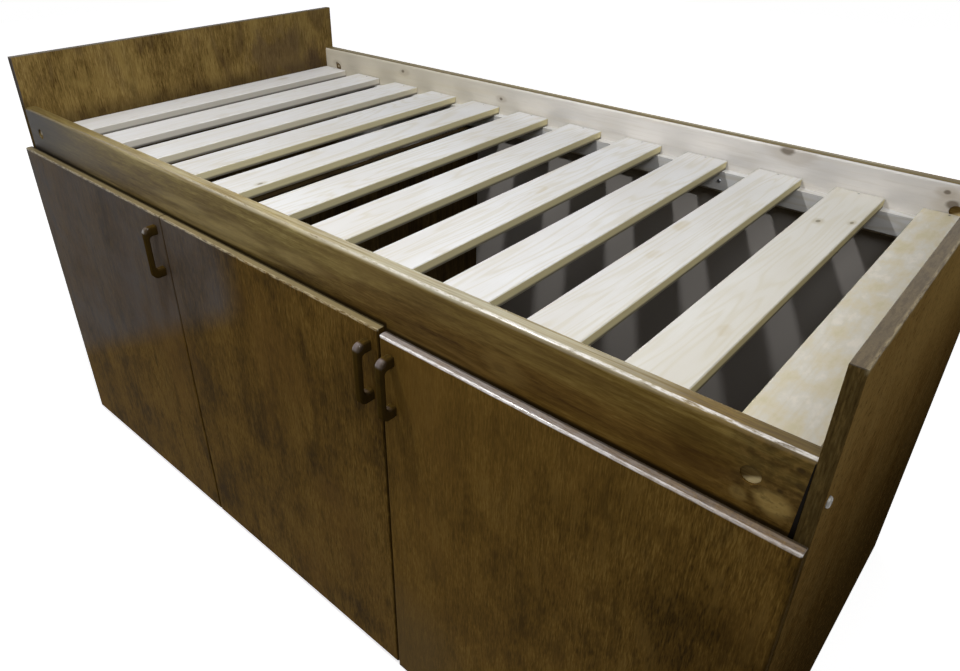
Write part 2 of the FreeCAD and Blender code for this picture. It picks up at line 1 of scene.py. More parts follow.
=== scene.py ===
import math
import bpy
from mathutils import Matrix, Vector


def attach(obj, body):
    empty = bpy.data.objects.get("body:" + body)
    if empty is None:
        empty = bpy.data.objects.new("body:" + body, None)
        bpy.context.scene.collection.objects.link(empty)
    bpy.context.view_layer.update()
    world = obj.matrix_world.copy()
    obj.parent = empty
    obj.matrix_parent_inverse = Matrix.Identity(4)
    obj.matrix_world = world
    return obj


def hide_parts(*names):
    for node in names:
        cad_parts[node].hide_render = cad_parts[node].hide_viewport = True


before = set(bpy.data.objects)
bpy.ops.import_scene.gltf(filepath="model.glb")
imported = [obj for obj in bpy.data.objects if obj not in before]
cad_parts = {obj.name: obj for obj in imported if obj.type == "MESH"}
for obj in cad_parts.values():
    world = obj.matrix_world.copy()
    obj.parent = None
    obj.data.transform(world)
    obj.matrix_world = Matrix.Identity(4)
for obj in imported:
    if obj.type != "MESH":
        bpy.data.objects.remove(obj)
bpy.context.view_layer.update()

# End panels: birch plywood, 18 mm thick, stained dark brown and varnished by brush. The
# face veneer's grain runs upright, and the cut edges show the plies as fine lines.


class Wire:
    """One value in a finish. Sums, products and powers of values add their own Math nodes."""

    def __init__(self, finish, socket):
        self.finish = finish
        self.socket = socket

    def math(self, kind, *terms):
        return self.finish.node("ShaderNodeMath", {"operation": kind}, *terms)

    def __add__(self, other):
        return self.math("ADD", self, other)

    def __sub__(self, other):
        return self.math("SUBTRACT", self, other)

    def __rsub__(self, other):
        return self.math("SUBTRACT", other, self)

    def __mul__(self, other):
        return self.math("MULTIPLY", self, other)

    def __truediv__(self, other):
        return self.math("DIVIDE", self, other)

    def __pow__(self, other):
        return self.math("POWER", self, other)

    __radd__ = __add__
    __rmul__ = __mul__

    def ramp(self, low, high):
        """Turns the value into 0 below low and 1 above high, with a soft step between."""
        return self.finish.node("ShaderNodeMapRange", {"interpolation_type": "SMOOTHSTEP"},
                                self, low, high, 0.0, 1.0)

    def held(self):
        """Holds the value between 0 and 1."""
        return self.finish.node("ShaderNodeClamp", {}, self, 0.0, 1.0)


class Finish:
    """A material built by code: nodes in, wires out."""

    def __init__(self, name, **fixed):
        self.material = bpy.data.materials.new(name)
        self.material.use_nodes = True
        self.tree = self.material.node_tree
        self.shader = self.tree.nodes["Principled BSDF"]
        for socket, number in fixed.items():
            self.shader.inputs[socket.replace("_", " ")].default_value = number

    def node(self, kind, settings, *terms, out=0, **named):
        """Adds a node, sets it up, fills its sockets and hands back one output."""
        node = self.tree.nodes.new(kind)
        for key, setting in settings.items():
            if key == "stops":
                elements = node.color_ramp.elements
                while len(elements) < len(setting):
                    elements.new(0.5)
                for element, (spot, colour) in zip(elements, setting):
                    element.position = spot
                    element.color = (*colour, 1)
            else:
                setattr(node, key, setting)
        for key, term in list(enumerate(terms)) + list(named.items()):
            if isinstance(term, Wire):
                self.tree.links.new(term.socket, node.inputs[key])
            else:
                node.inputs[key].default_value = term
        return Wire(self, node.outputs[out])

    def place(self):
        """Gives the point on the piece, in metres of the bed's own frame."""
        return self.node("ShaderNodeTexCoord", {}, out="Object")

    def axes(self, vector):
        """Splits a vector into its three numbers."""
        first = self.node("ShaderNodeSeparateXYZ", {}, vector)
        return [Wire(self, output) for output in first.socket.node.outputs]

    def point(self, x, y, z):
        return self.node("ShaderNodeCombineXYZ", {}, x, y, z)

    def noise(self, vector, scale, detail=2.0, roughness=0.5, warp=0.0):
        return self.node("ShaderNodeTexNoise", {}, Vector=vector, Scale=scale, Detail=detail,
                         Roughness=roughness, Distortion=warp)

    def colours(self, value, *stops):
        return self.node("ShaderNodeValToRGB", {"stops": stops}, value)

    def mix(self, share, first, second, blend="MIX"):
        """Mixes two colours, the second one showing where the share is 1."""
        node = self.tree.nodes.new("ShaderNodeMix")
        node.data_type = "RGBA"
        node.blend_type = blend
        for index, term in ((0, share), (6, first), (7, second)):
            if isinstance(term, Wire):
                self.tree.links.new(term.socket, node.inputs[index])
            else:
                node.inputs[index].default_value = (*term, 1) if index else term
        return Wire(self, node.outputs[2])

    def spot(self, across, up, middle, radius, stretch=1.0, ragged=None):
        """Gives 1 inside a soft mark, drawn out along its first way, with a ragged outline."""
        way = (across - middle[0]) / stretch
        rise = up - middle[1]
        if ragged is not None:
            way = way + (ragged - 0.5) * radius * 3.0
            rise = rise - (ragged - 0.5) * radius * 2.2
        return 1 - ((way * way + rise * rise) ** 0.5).ramp(radius * 0.45, radius)

    def send(self, name, wire):
        self.tree.links.new(wire.socket, self.shader.inputs[name])

    def raise_by(self, height, strength, distance):
        """Sends a height to the shader as a bump."""
        self.send("Normal", self.node("ShaderNodeBump", {}, Height=height, Strength=strength,
                                      Distance=distance))

    def paint(self, *nodes):
        """Puts the finish on CAD nodes and pieces in place of what they have."""
        for name in nodes:
            mesh = bpy.data.objects[name].data
            mesh.materials.clear()
            mesh.materials.append(self.material)


def from_screen(red, green, blue):
    """Turns a colour as a screen shows it, 0 to 255, into light."""
    return tuple(((level / 255 + 0.055) / 1.055) ** 2.4 for level in (red, green, blue))


class StainedWood(Finish):
    """Dark stained and varnished wood with its grain along X or Z.

    Where several boards lie side by side, boards is the first one's edge and their pitch, and
    each board takes its figure from another place.
    """

    NEXT_FIGURE = 3.7

    def __init__(self, name, grain, dark, brown, tan, light, boards=None,
                 streaks=0.95, lines=0.75, clouds=0.8, specks=0.5, gloss=0.03,
                 cloud_pitch=7.0):
        super().__init__(name, Specular_IOR_Level=gloss, Coat_Roughness=0.24)
        self.x, self.y, self.z = self.axes(self.place())
        along, first = (self.x, self.z) if grain == "X" else (self.z, self.x)
        second = self.y
        if boards:
            start, pitch = boards
            number = self.node("ShaderNodeMath", {"operation": "FLOOR"}, (self.x - start) / pitch)
            second = second + number * self.NEXT_FIGURE
        self.first, self.second = first, second
        self.wide = self.noise(self.point(first * 13.0, second * 13.0, along * 1.3), 1.0, 4.0, 0.6)
        self.fine = self.noise(self.point(first * 120.0, second * 120.0, along * 5.0), 1.0, 3.0,
                               0.65)
        self.mottle = self.noise(self.point(first * 9.0, second * 9.0, along * cloud_pitch), 1.0,
                                 5.0, 0.65)
        self.pores = self.noise(self.point(first * 430.0, second * 430.0, along * 48.0), 1.0, 2.0,
                                0.7)
        self.tone = self.wide * streaks + self.fine * lines + self.mottle * clouds
        self.tone = self.tone + self.pores * specks - (streaks + lines + clouds + specks - 1) / 2
        self.colour = self.colours(self.tone, (0.18, dark), (0.42, brown), (0.60, tan),
                                   (0.84, light))

    def tint(self, share, colour):
        """Lays another colour over the finish where the share is 1."""
        self.colour = self.mix(share, self.colour, colour)

    def deepen(self, share, light):
        """Darkens the finish to a share of its light, so that its figure stays."""
        self.colour = self.mix(share, self.colour, self.mix(1.0, self.colour, light, "MULTIPLY"))

    def close(self, roughness, coat=None):
        """Sends what has been built up to the shader."""
        self.send("Base Color", self.colour)
        self.send("Roughness", roughness + self.pores * 0.14 + (self.mottle - 0.5) * 0.2)
        if coat is not None:
            self.send("Coat Weight", coat)
        self.raise_by(self.pores * 0.8 + self.fine * 0.5, 0.22, 0.0004)


PANEL_INSIDE = 0.950
PANEL_OUTSIDE = 0.968
PANEL_EDGE = 0.490
PANEL_TOP = 1.045
PLY_PITCH = 0.0036
panel_ply = StainedWood("stained_ply_panels", "Z", from_screen(66, 50, 24),
                        from_screen(107, 87, 47), from_screen(126, 104, 59),
                        from_screen(150, 128, 79), streaks=0.45, lines=0.38, clouds=1.1,
                        specks=1.1, gloss=0.0)
# darker pools of stain here and there
panel_ply.tint((panel_ply.mottle * 0.7 + panel_ply.wide * 0.5).ramp(0.62, 0.82) * 0.75,
               from_screen(58, 45, 22))
x, y, z = panel_ply.x, panel_ply.y, panel_ply.z
# the head panel's veneer has flame figure in it, olive in the light parts
inside = x.ramp(-0.0006 - PANEL_INSIDE, -0.0002 - PANEL_INSIDE) * (1 - x.ramp(-0.9, 0.9))
flame = panel_ply.noise(panel_ply.point(x * 14.0, y * 14.0, z * 6.0), 1.0, 4.0, 0.55, 1.1)
panel_ply.tint(inside * flame.ramp(0.46, 0.68) * 0.50, from_screen(134, 113, 64))
panel_ply.tint(inside * (1 - flame.ramp(0.30, 0.48)) * 0.48, from_screen(78, 62, 40))
# painted shade low on the head panel where the slats meet it, and a darker purple-grey patch near
# its far end
panel_ply.tint((1 - z.ramp(0.870, 0.920)) * inside * 0.6, from_screen(54, 42, 26))
panel_ply.tint(panel_ply.spot(y, z, (0.30, 0.925), 0.10, 1.6, panel_ply.mottle) * inside * 0.5,
               from_screen(72, 58, 48))
# the foot panel's outer face is redder; a painted pool of light brightens its upper part, most
# towards the back, and painted shade darkens it towards the floor
outside = x.ramp(PANEL_OUTSIDE - 0.0012, PANEL_OUTSIDE - 0.0004)
panel_ply.tint(outside * z.ramp(0.55, 1.0) * 0.50, from_screen(142, 114, 66))
panel_ply.tint(outside * z.ramp(0.70, 1.0) * y.ramp(-0.35, 0.15) * 0.60,
               from_screen(168, 140, 82))
panel_ply.tint(outside * (1 - z.ramp(0.75, 1.0) * 0.6) * 0.45, from_screen(98, 66, 22))
panel_ply.tint((1 - z.ramp(0.22, 0.98)) * outside * 0.76, from_screen(38, 27, 9))
dust = panel_ply.noise(panel_ply.point(x * 60.0, y * 80.0, z * 120.0), 1.0, 5.0, 0.7)
panel_ply.tint(outside * dust.ramp(0.52, 0.66) * 0.35, from_screen(140, 104, 54))
panel_ply.tint(outside * (1 - dust.ramp(0.34, 0.48)) * 0.45, from_screen(44, 30, 13))
# plies on the cut edges: faint dark glue lines; the top edge is worn and painted grey as a sheen
plies = panel_ply.node("ShaderNodeMath", {"operation": "SINE"}, x * (2 * math.pi / PLY_PITCH))
plies = (plies * 0.5 + 0.5) * panel_ply.wide.ramp(0.35, 0.65)
front_edge = 1 - y.ramp(0.0006 - PANEL_EDGE, 0.0016 - PANEL_EDGE)
top_edge = z.ramp(PANEL_TOP - 0.0016, PANEL_TOP - 0.0008)
worn = panel_ply.noise(panel_ply.point(x * 260.0, y * 40.0, z * 40.0), 1.0, 4.0, 0.7)
panel_ply.tint(front_edge * (0.62 + plies * 0.25), from_screen(46, 34, 16))
panel_ply.tint(front_edge * worn.ramp(0.52, 0.68) * 0.45, from_screen(120, 98, 56))
# painted sheen: the head panel's front edge is greyed towards its top
panel_ply.tint(front_edge * (1 - x.ramp(-0.1, 0.1)) * z.ramp(0.90, 0.96) * 0.7,
               from_screen(98, 92, 90))
panel_ply.tint(top_edge * 0.85, from_screen(89, 79, 63))
panel_ply.tint(top_edge * worn.ramp(0.45, 0.62) * 0.5, from_screen(66, 56, 44))
outer_arris = z.ramp(PANEL_TOP - 0.0090, PANEL_TOP - 0.0010)
outer_arris = outer_arris * x.ramp(PANEL_OUTSIDE - 0.0045, PANEL_OUTSIDE - 0.0010)
panel_ply.tint(outer_arris * worn.ramp(0.40, 0.60) * 0.7, from_screen(150, 136, 104))
panel_ply.close(0.48, top_edge * 0.35)
panel_ply.paint("head_panel", "foot_panel")

# Rails: planed pine, 30 mm thick, stained lighter than the panels and worn along their rounded top
# edge, which is also painted pale as a sheen. Their ends are cut by hand; where the front rail
# meets the foot panel, a painted shade stands for the dark gap.
RAIL_TOP = 0.925
RAIL_FACE = 0.490
RAIL_INSIDE = 0.460
RAIL_ROUNDING = 0.007
DOOR_TOP = 0.825
THIRD_DOOR = 0.3229
THIRD_DOOR_DROP = 0.008


def rail_finish(name):
    """Stained pine with long golden and dark streaks along the bed."""
    wood = StainedWood(name, "X", from_screen(74, 57, 26), from_screen(116, 97, 52),
                       from_screen(142, 124, 72), from_screen(178, 163, 110),
                       streaks=0.8, lines=0.55, cloud_pitch=2.4)
    x, y, z = wood.x, wood.y, wood.z
    flame = wood.noise(wood.point(z * 16.0, y * 16.0, x * 1.7), 1.0, 3.0, 0.5, 0.8)
    rings = wood.node("ShaderNodeMath", {"operation": "SINE"}, flame * 46.0) * 0.5 + 0.5
    wood.tint(rings ** 2.0 * 0.34, from_screen(84, 62, 28))
    wood.tint(flame.ramp(0.54, 0.66) * 0.45, from_screen(176, 156, 104))
    wood.deepen(x.ramp(0.05, 0.70), (0.74, 0.64, 0.45))
    # the stain has run down and stands darker and redder in the lower part of the face
    low = 1 - (z + (wood.mottle - 0.5) * 0.08).ramp(0.862, 0.900)
    wood.deepen(x.ramp(0.00, 0.30) * low, (0.80, 0.70, 0.60))
    wood.tint(x.ramp(0.05, 0.30) * (1 - x.ramp(0.55, 0.75)) * (1 - low)
              * (0.15 + wood.wide.ramp(0.40, 0.60) * 0.35), from_screen(148, 124, 74))
    wood.tint((wood.mottle * x.ramp(0.75, 0.92)).ramp(0.42, 0.58) * 0.5, from_screen(56, 40, 17))
    # the rounded edge is painted pale as a sheen, broken by worn flecks and strongest from the
    # middle towards the foot end, darker at the head end, with a dull sheen
    rubbed = z.ramp(RAIL_TOP - 0.0075, RAIL_TOP - 0.002)
    worn = wood.noise(wood.point(z * 160.0, y * 160.0, x * 5.0), 1.0, 3.0, 0.6)
    wood.tint(rubbed * x.ramp(-0.85, -0.10) * (1 - x.ramp(0.68, 0.84) * 0.85)
              * (0.10 + worn.ramp(0.38, 0.66) * 0.45 + x.ramp(0.00, 0.45) * 0.35),
              from_screen(176, 172, 152))
    wood.tint(rubbed * (1 - x.ramp(-0.95, -0.20)) * 0.5, from_screen(96, 84, 54))
    wood.tint(rubbed * (1 - worn.ramp(0.32, 0.46)) * 0.55, from_screen(108, 94, 60))
    wood.rubbed = rubbed
    return wood


front_pine = rail_finish("stained_pine_front_rail")
x, y, z = front_pine.x, front_pine.y, front_pine.z
face = 1 - y.ramp(0.0002 - RAIL_FACE, 0.0020 - RAIL_FACE)
# a pale blotch and a smudge near the foot end, beside the bolt's plug
BLOTCHES = ((0.930, 0.843, 0.020, 0.75), (0.886, 0.838, 0.011, 0.35))
for across, up, radius, strength in BLOTCHES:
    front_pine.tint(front_pine.spot(x, z, (across, up), radius, 1.3, front_pine.mottle) * face
                    * (0.5 + front_pine.fine) * strength, from_screen(178, 150, 88))
speckle = front_pine.noise(front_pine.point(x * 70.0, y * 110.0, z * 110.0), 1.0, 4.0, 0.6)
foot_end = x.ramp(0.80, 0.92) * face
front_pine.tint(foot_end * speckle.ramp(0.46, 0.66) * 0.45, from_screen(136, 108, 56))
front_pine.tint(foot_end * (1 - speckle.ramp(0.30, 0.50)) * 0.45, from_screen(50, 35, 14))
PITS = ((0.944, 0.886, 0.006), (0.938, 0.906, 0.004), (0.925, 0.868, 0.003))
for across, up, radius in PITS:
    front_pine.tint(front_pine.spot(x, z, (across, up), radius, 1.6) * face * 0.6,
                    from_screen(44, 32, 15))
# a painted greyish reflection on the face at the head end, darkened and greyed towards the end
painted_reflection = (1 - x.ramp(-0.92, -0.42)) * face
front_pine.tint(painted_reflection * (0.50 + front_pine.mottle * 0.4), from_screen(86, 80, 70))
front_pine.deepen((1 - x.ramp(-0.95, -0.62)) * face, (0.30, 0.30, 0.36))
# a painted highlight runs along the upper half of the rounding, broken by darker flecks
arris = z.ramp(RAIL_TOP - RAIL_ROUNDING * 0.34, RAIL_TOP - RAIL_ROUNDING * 0.14)
arris = arris * (1 - y.ramp(RAIL_ROUNDING * 0.90 - RAIL_FACE, RAIL_ROUNDING * 1.15 - RAIL_FACE))
chips = front_pine.noise(front_pine.point(x * 45.0, y * 200.0, z * 200.0), 1.0, 3.0, 0.7)
front_pine.tint(arris * x.ramp(0.00, 0.70) * (0.12 + chips.ramp(0.38, 0.60) * 0.80),
                from_screen(218, 213, 206))
front_pine.tint(arris * (1 - chips.ramp(0.32, 0.44)) * 0.7, from_screen(104, 90, 62))
# a knot's figure in the face, pale round a small dark heart
front_pine.tint(front_pine.spot(x, z, (0.548, 0.853), 0.026, 1.9, front_pine.mottle) * face * 0.28,
                from_screen(146, 120, 66))
front_pine.tint(front_pine.spot(x, z, (0.545, 0.850), 0.008, 1.9, front_pine.mottle) * face * 0.30,
                from_screen(64, 45, 19))
# painted shade on the rail's face just above the doors' ledge
above = z - (DOOR_TOP - x.ramp(THIRD_DOOR - 0.0002, THIRD_DOOR) * THIRD_DOOR_DROP)
front_pine.tint((1 - above.ramp(0.001, 0.007)) * face * 0.85, from_screen(24, 17, 8))
# a darker pool of stain beside the plug
front_pine.deepen(front_pine.spot(x, z, (0.848, 0.868), 0.040, 1.6, front_pine.mottle) * face,
                  (0.70, 0.66, 0.55))
# painted shade: a dark line where the rail's end meets the foot panel, wider below, stands for the
# shadowed gap there
end_line = (x - (z - 0.79) * 0.045).ramp(0.9430, 0.9436)
front_pine.tint(end_line * face, from_screen(14, 10, 6))
front_pine.close(0.42, arris * 0.7 + front_pine.rubbed * 0.12)
front_pine.paint("front_rail")

# The back rail is stained outside and on top only: its inner face was left bare.
back_pine = rail_finish("pine_back_rail")
x, y, z = back_pine.x, back_pine.y, back_pine.z
bare = 1 - y.ramp(RAIL_INSIDE + 0.0040, RAIL_INSIDE + 0.0055)
bare = bare * (1 - z.ramp(RAIL_TOP - 0.0024, RAIL_TOP - 0.0012))
pale = back_pine.mix(back_pine.mottle.ramp(0.35, 0.65), from_screen(219, 216, 213),
                     from_screen(237, 233, 228))
pale = back_pine.mix(back_pine.wide.ramp(0.52, 0.66) * 0.3, pale, from_screen(218, 207, 184))
pale = back_pine.mix(back_pine.fine.ramp(0.50, 0.72) * 0.25, pale, from_screen(198, 191, 178))
pale = back_pine.mix((1 - x.ramp(-0.60, 0.20)) * 0.5, pale, from_screen(208, 196, 160))
back_pine.tint(1 - y.ramp(RAIL_INSIDE + 0.0140, RAIL_INSIDE + 0.0160), from_screen(104, 90, 52))
back_pine.tint(bare, pale)
KNOTS = ((0.556, 0.921, 0.013), (0.884, 0.883, 0.012), (-0.214, 0.888, 0.005),
         (-0.596, 0.905, 0.006), (-0.898, 0.882, 0.006), (0.868, 0.905, 0.006))
for across, up, radius in KNOTS:
    back_pine.tint(back_pine.spot(x, z, (across, up), radius, 1.4, back_pine.mottle) * bare
                   * 0.8, from_screen(74, 64, 56))
    back_pine.tint(back_pine.spot(x, z, (across, up), radius * 2.6, 1.8, back_pine.mottle)
                   * bare * 0.3, from_screen(160, 144, 120))
back_pine.close(0.55, back_pine.rubbed * 0.3)
back_pine.paint("back_rail")

# Plugs: short pine discs, stained a little lighter than the rails and pushed into the rails'
# round recesses over the nuts of the bed bolts.
PLUG_MIDDLE = 0.892
BOLT_HEIGHT = 0.871
plug_pine = StainedWood("stained_pine_plugs", "X", from_screen(72, 54, 24),
                        from_screen(96, 76, 38), from_screen(116, 94, 52),
                        from_screen(140, 118, 72))
x, z = plug_pine.x, plug_pine.z
# painted highlights: a bright crescent low on the right of the foot-end plug, where light falls on
# the recess's lower wall, and a pale spot on the head-end plug
crescent = ((x - PLUG_MIDDLE) * 0.55 - (z - BOLT_HEIGHT)).ramp(0.0010, 0.0085)
plug_pine.tint(crescent * (0.5 + plug_pine.fine * 0.5), from_screen(236, 214, 160))
plug_pine.tint(plug_pine.spot(x, z, (-0.001 - PLUG_MIDDLE, BOLT_HEIGHT + 0.002), 0.006) * 0.8,
               from_screen(188, 178, 156))
plug_pine.close(0.45)
plug_pine.paint("recess_plugs")

# Cupboard: a plywood floor, the upright between the cupboards and a thin back, which is
# lacquered pale grey inside and bare brown hardboard outside.
INNER_BOARDS = (-0.967, 0.9)
inner_ply = StainedWood("stained_ply_inside", "Z", from_screen(40, 30, 15),
                        from_screen(62, 48, 26), from_screen(76, 60, 34),
                        from_screen(98, 80, 48), INNER_BOARDS)
inner_ply.close(0.55)
inner_ply.paint("cabinet_floor", "divider")

HARDBOARD_FACE = 0.490
hardboard = Finish("hardboard_back", Specular_IOR_Level=0.2)
x, y, z = hardboard.axes(hardboard.place())
rough_side = y.ramp(HARDBOARD_FACE - 0.0038, HARDBOARD_FACE - 0.0020)
fibres = hardboard.noise(hardboard.point(x * 240.0, y * 240.0, z * 240.0), 1.0, 4.0, 0.7)
clouds = hardboard.noise(hardboard.point(x * 5.0, y * 5.0, z * 5.0), 1.0, 3.0, 0.5)
grey = hardboard.mix(clouds, from_screen(165, 160, 155), from_screen(175, 170, 165))
brown = hardboard.mix(fibres, from_screen(96, 70, 46), from_screen(134, 104, 72))
brown = hardboard.mix(clouds.ramp(0.35, 0.65) * 0.55, brown, from_screen(88, 64, 42))
scuffs = hardboard.noise(hardboard.point(x * 3.0, y, z * 60.0), 1.0, 4.0, 0.65)
brown = hardboard.mix(scuffs.ramp(0.60, 0.72) * 0.4, brown, from_screen(146, 118, 86))
hardboard.send("Base Color", hardboard.mix(rough_side, grey, brown))
hardboard.send("Roughness", 0.5 + fibres * 0.3)
hardboard.raise_by(fibres * rough_side, 0.3, 0.0004)
hardboard.paint("back_panel")

# Slats and battens: planed pine without a finish, pale, with soft latewood lines, small
# knots and rough yellower sawn edges. Each slat is cut from another board.
NEXT_SLAT_FIGURE = 2.3
SLAT_BOARDS = (-0.955, 0.1615)
SLAT_TOP = 0.866


def bare_pine(name, grain, boards=None):
    """Pale planed pine; returns the finish with its colour not yet sent."""
    wood = Finish(name, Specular_IOR_Level=0.22)
    x, y, z = wood.axes(wood.place())
    height = z
    if boards:
        start, pitch = boards
        number = wood.node("ShaderNodeMath", {"operation": "FLOOR"}, (x - start) / pitch)
        height = z + number * NEXT_SLAT_FIGURE
    along, across, depth = (x, height, y) if grain == "X" else (y, x, height)
    figure = wood.noise(wood.point(across * 10.0, depth * 10.0, along * 0.8), 1.0, 3.0, 0.5, 0.5)
    rings = wood.node("ShaderNodeMath", {"operation": "SINE"}, figure * 120.0) * 0.5 + 0.5
    fibre = wood.noise(wood.point(across * 420.0, depth * 420.0, along * 14.0), 1.0, 3.0, 0.65)
    cloud = wood.noise(wood.point(across * 7.0, depth * 7.0, along * 3.5), 1.0, 4.0, 0.55)
    colour = wood.mix(cloud.ramp(0.3, 0.7), from_screen(216, 216, 216), from_screen(207, 205, 202))
    colour = wood.mix((rings ** 3.0) * 0.36, colour, from_screen(190, 181, 156))
    colour = wood.mix(fibre.ramp(0.52, 0.78) * 0.22, colour, from_screen(180, 172, 156))
    wood.x, wood.y, wood.z, wood.colour = x, y, z, colour
    wood.rings, wood.fibre, wood.cloud = rings, fibre, cloud
    return wood


slat_pine = bare_pine("bare_pine_slats", "Y", SLAT_BOARDS)
x, y, z = slat_pine.x, slat_pine.y, slat_pine.z
colour = slat_pine.colour
# boards towards the foot end are yellower, the last one with olive clouds
yellow = x.ramp(0.40, 0.90)
colour = slat_pine.mix(yellow * 0.55, colour, from_screen(204, 198, 178))
patches = slat_pine.noise(slat_pine.point(x * 40.0, y * 17.0, z * 24.0), 1.0, 5.0, 0.6)
last = x.ramp(0.80, 0.84)
colour = slat_pine.mix(patches.ramp(0.42, 0.58) * last * 0.55, colour, from_screen(206, 194, 162))
colour = slat_pine.mix(patches.ramp(0.54, 0.68) * last * 0.4, colour, from_screen(190, 182, 140))
colour = slat_pine.mix((1 - patches.ramp(0.32, 0.46)) * last * 0.55, colour,
                       from_screen(226, 219, 206))
colour = slat_pine.mix((1 - x.ramp(-0.85, -0.30)) * 0.5, colour, from_screen(238, 236, 234))
colour = slat_pine.mix(patches.ramp(0.54, 0.70) * (1 - x.ramp(-0.85, -0.5)) * 0.25, colour,
                       from_screen(190, 180, 158))
# knots: a dark heart in a wide soft eye that the grain bends round
HEARTS = ((0.708, 0.256, 0.0055), (0.758, 0.289, 0.0045), (-0.228, -0.324, 0.0050))
EYES = ((0.547, -0.071, 0.016), (0.528, 0.067, 0.018), (0.229, 0.038, 0.014),
        (-0.916, 0.251, 0.014), (0.741, -0.220, 0.012))
for across, along, radius in EYES:
    eye = slat_pine.spot(y, x, (along, across), radius, 1.9, slat_pine.cloud)
    colour = slat_pine.mix(eye * (0.10 + slat_pine.rings * 0.3), colour,
                           from_screen(186, 172, 138))
for across, along, radius in HEARTS:
    eye = slat_pine.spot(y, x, (along, across), radius * 2.4, 1.7, slat_pine.cloud)
    colour = slat_pine.mix(eye * 0.4, colour, from_screen(168, 156, 124))
    heart = slat_pine.spot(y, x, (along, across), radius, 1.8, slat_pine.cloud)
    colour = slat_pine.mix(heart * 0.75, colour, from_screen(104, 96, 74))
# the sawn sides below the eased edge, with painted shade on their lower part
sides = 1 - z.ramp(SLAT_TOP - 0.0016, SLAT_TOP - 0.0010)
sawn_sides_and_shade = slat_pine.mix(slat_pine.fibre, from_screen(212, 200, 148), from_screen(232, 221, 176))
sawn_sides_and_shade = slat_pine.mix((1 - x.ramp(-0.7, -0.3)) * 0.85, sawn_sides_and_shade, from_screen(206, 201, 193))
# painted shade on the lower part of the sides
sawn_sides_and_shade = slat_pine.mix((1 - z.ramp(SLAT_TOP - 0.0180, SLAT_TOP - 0.0130)) * 0.9, sawn_sides_and_shade,
                     from_screen(56, 47, 30))
colour = slat_pine.mix(sides * 0.9, colour, sawn_sides_and_shade)
slat_pine.send("Base Color", colour)
slat_pine.send("Roughness", 0.6 + slat_pine.fibre * 0.2)
slat_pine.raise_by(slat_pine.fibre * 0.7 + slat_pine.rings * 0.3, 0.25, 0.0004)
slat_pine.paint(*["slat_%d" % number for number in range(1, 13)])

batten_pine = bare_pine("bare_pine_battens", "X")
batten_pine.send("Base Color", batten_pine.colour)
batten_pine.send("Roughness", 0.62 + batten_pine.fibre * 0.2)
batten_pine.raise_by(batten_pine.fibre, 0.3, 0.0005)
batten_pine.paint("front_batten", "back_batten")

# Doors: 16 mm plywood, stained like the panels, each cut from its own sheet and hung on two
# hinges. Their upper edges stand out below the rail as a paler ledge, glossy on the third door,
# with a painted highlight along its front and a painted grey reflection on the third door's ledge.
FIRST_DOOR = -0.967
DOOR_PITCH = 0.645667
DOOR_WIDTH = 0.642667
DOOR_FACE = -0.509
DOOR_BACK = -0.493
door_ply = StainedWood("stained_ply_doors", "Z", from_screen(58, 42, 14),
                       from_screen(90, 67, 26), from_screen(105, 79, 33),
                       from_screen(130, 102, 49), (FIRST_DOOR, DOOR_PITCH), streaks=0.7,
                       lines=0.5, clouds=1.3, specks=1.3, gloss=0.008)
x, y, z = door_ply.x, door_ply.y, door_ply.z
veins = door_ply.noise(door_ply.point(door_ply.first * 44.0, door_ply.second * 44.0, z * 12.0),
                       1.0, 4.0, 0.65)
door_ply.tint(veins.ramp(0.50, 0.72) * 0.55, from_screen(54, 40, 15))
door_ply.tint((1 - veins.ramp(0.30, 0.48)) * 0.50, from_screen(118, 92, 44))
warmth = door_ply.noise(door_ply.point(x * 4.0, y * 4.0, z * 2.5), 1.0, 3.0, 0.5)
door_ply.tint(warmth.ramp(0.50, 0.66) * 0.40, from_screen(110, 81, 37))
door_ply.tint((door_ply.mottle * 0.6 + door_ply.wide * 0.6).ramp(0.66, 0.86) * 0.6,
              from_screen(58, 42, 18))
# a painted bluish reflection, outside on the first door and on the next one's upper corner; its
# lower edge climbs towards the foot end
painted_reflection = (z - (x + 0.769) * 0.536).ramp(0.285, 0.365) * (1 - x.ramp(-0.16, -0.04))
painted_reflection = painted_reflection * (0.62 + (door_ply.mottle - 0.5) * 1.4).held()
outer_face = 1 - y.ramp(DOOR_FACE + 0.0010, DOOR_FACE + 0.0030)
door_ply.tint(painted_reflection * outer_face * 0.82, from_screen(90, 90, 94))
# painted shade along the doors' upright edges and on their sides, where the seams and gaps lie
# dark
across = door_ply.node("ShaderNodeMath", {"operation": "FRACT"}, (x - FIRST_DOOR) / DOOR_PITCH)
across = across * DOOR_PITCH
upright = 1 - across.ramp(0.0004, 0.0026) + across.ramp(DOOR_WIDTH - 0.0026, DOOR_WIDTH - 0.0004)
upright = upright.held()
door_ply.tint(upright * 0.60, from_screen(36, 27, 12))
third = x.ramp(THIRD_DOOR - 0.0002, THIRD_DOOR)
below = DOOR_TOP - third * THIRD_DOOR_DROP - z
door_ply.tint(third * (1 - x.ramp(0.40, 0.85)) * 0.22, from_screen(136, 103, 45))
